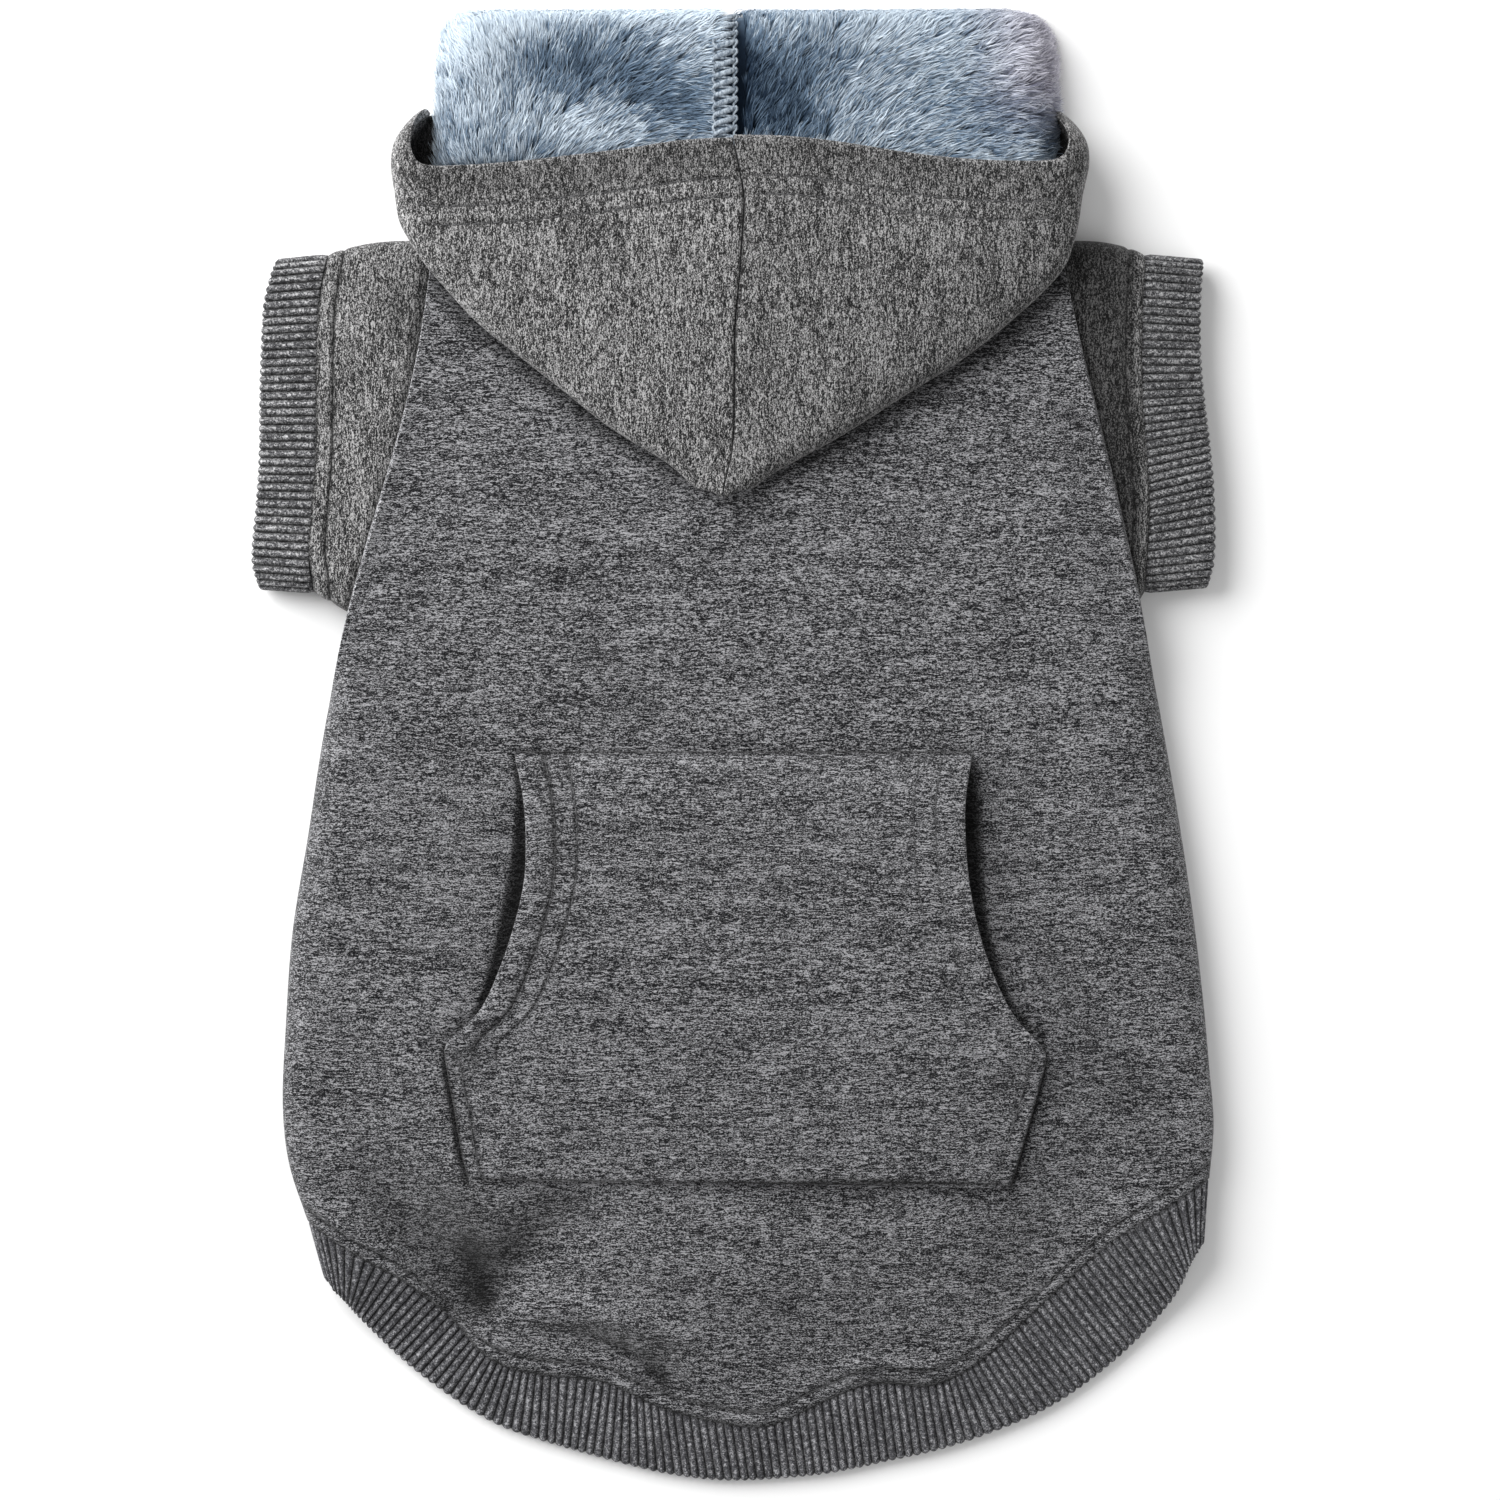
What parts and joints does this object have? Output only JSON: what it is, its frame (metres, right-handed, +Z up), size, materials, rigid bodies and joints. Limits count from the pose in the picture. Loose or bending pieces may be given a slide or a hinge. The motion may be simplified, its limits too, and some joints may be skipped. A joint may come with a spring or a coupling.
{
  "type": "dog hoodie",
  "caption": "Fleece dog hoodie lying flat with its back up: hood with plush lining folded back, ribbed cuffs and hem band, short sleeves and a kangaroo pocket.",
  "frame": {"origin": "bottom centre of the bounding box of the lying garment", "axes": "+Y towards the head end, +Z up through the thickness, the dog's back on top"},
  "size_m": [0.2505, 0.3824, 0.0239],
  "materials": {
    "body_knit": "brushed knit, heather charcoal",
    "hood_knit": "brushed knit, heather grey",
    "rib_knit": "ribbed knit, heather charcoal",
    "plush": "plush pile, steel blue",
    "thread": "overlock thread"
  },
  "bodies": {
    "root": {"back_panel": "body_knit", "chest_panel": "body_knit", "pocket": "body_knit", "sleeve_left": "body_knit", "sleeve_right": "body_knit", "cuff_left": "rib_knit", "cuff_right": "rib_knit", "hem_band": "rib_knit", "hood_left": "hood_knit", "hood_right": "hood_knit", "hood_lining_left": "plush", "hood_lining_right": "plush", "lining_seam": "thread"}
  },
  "joints": []
}
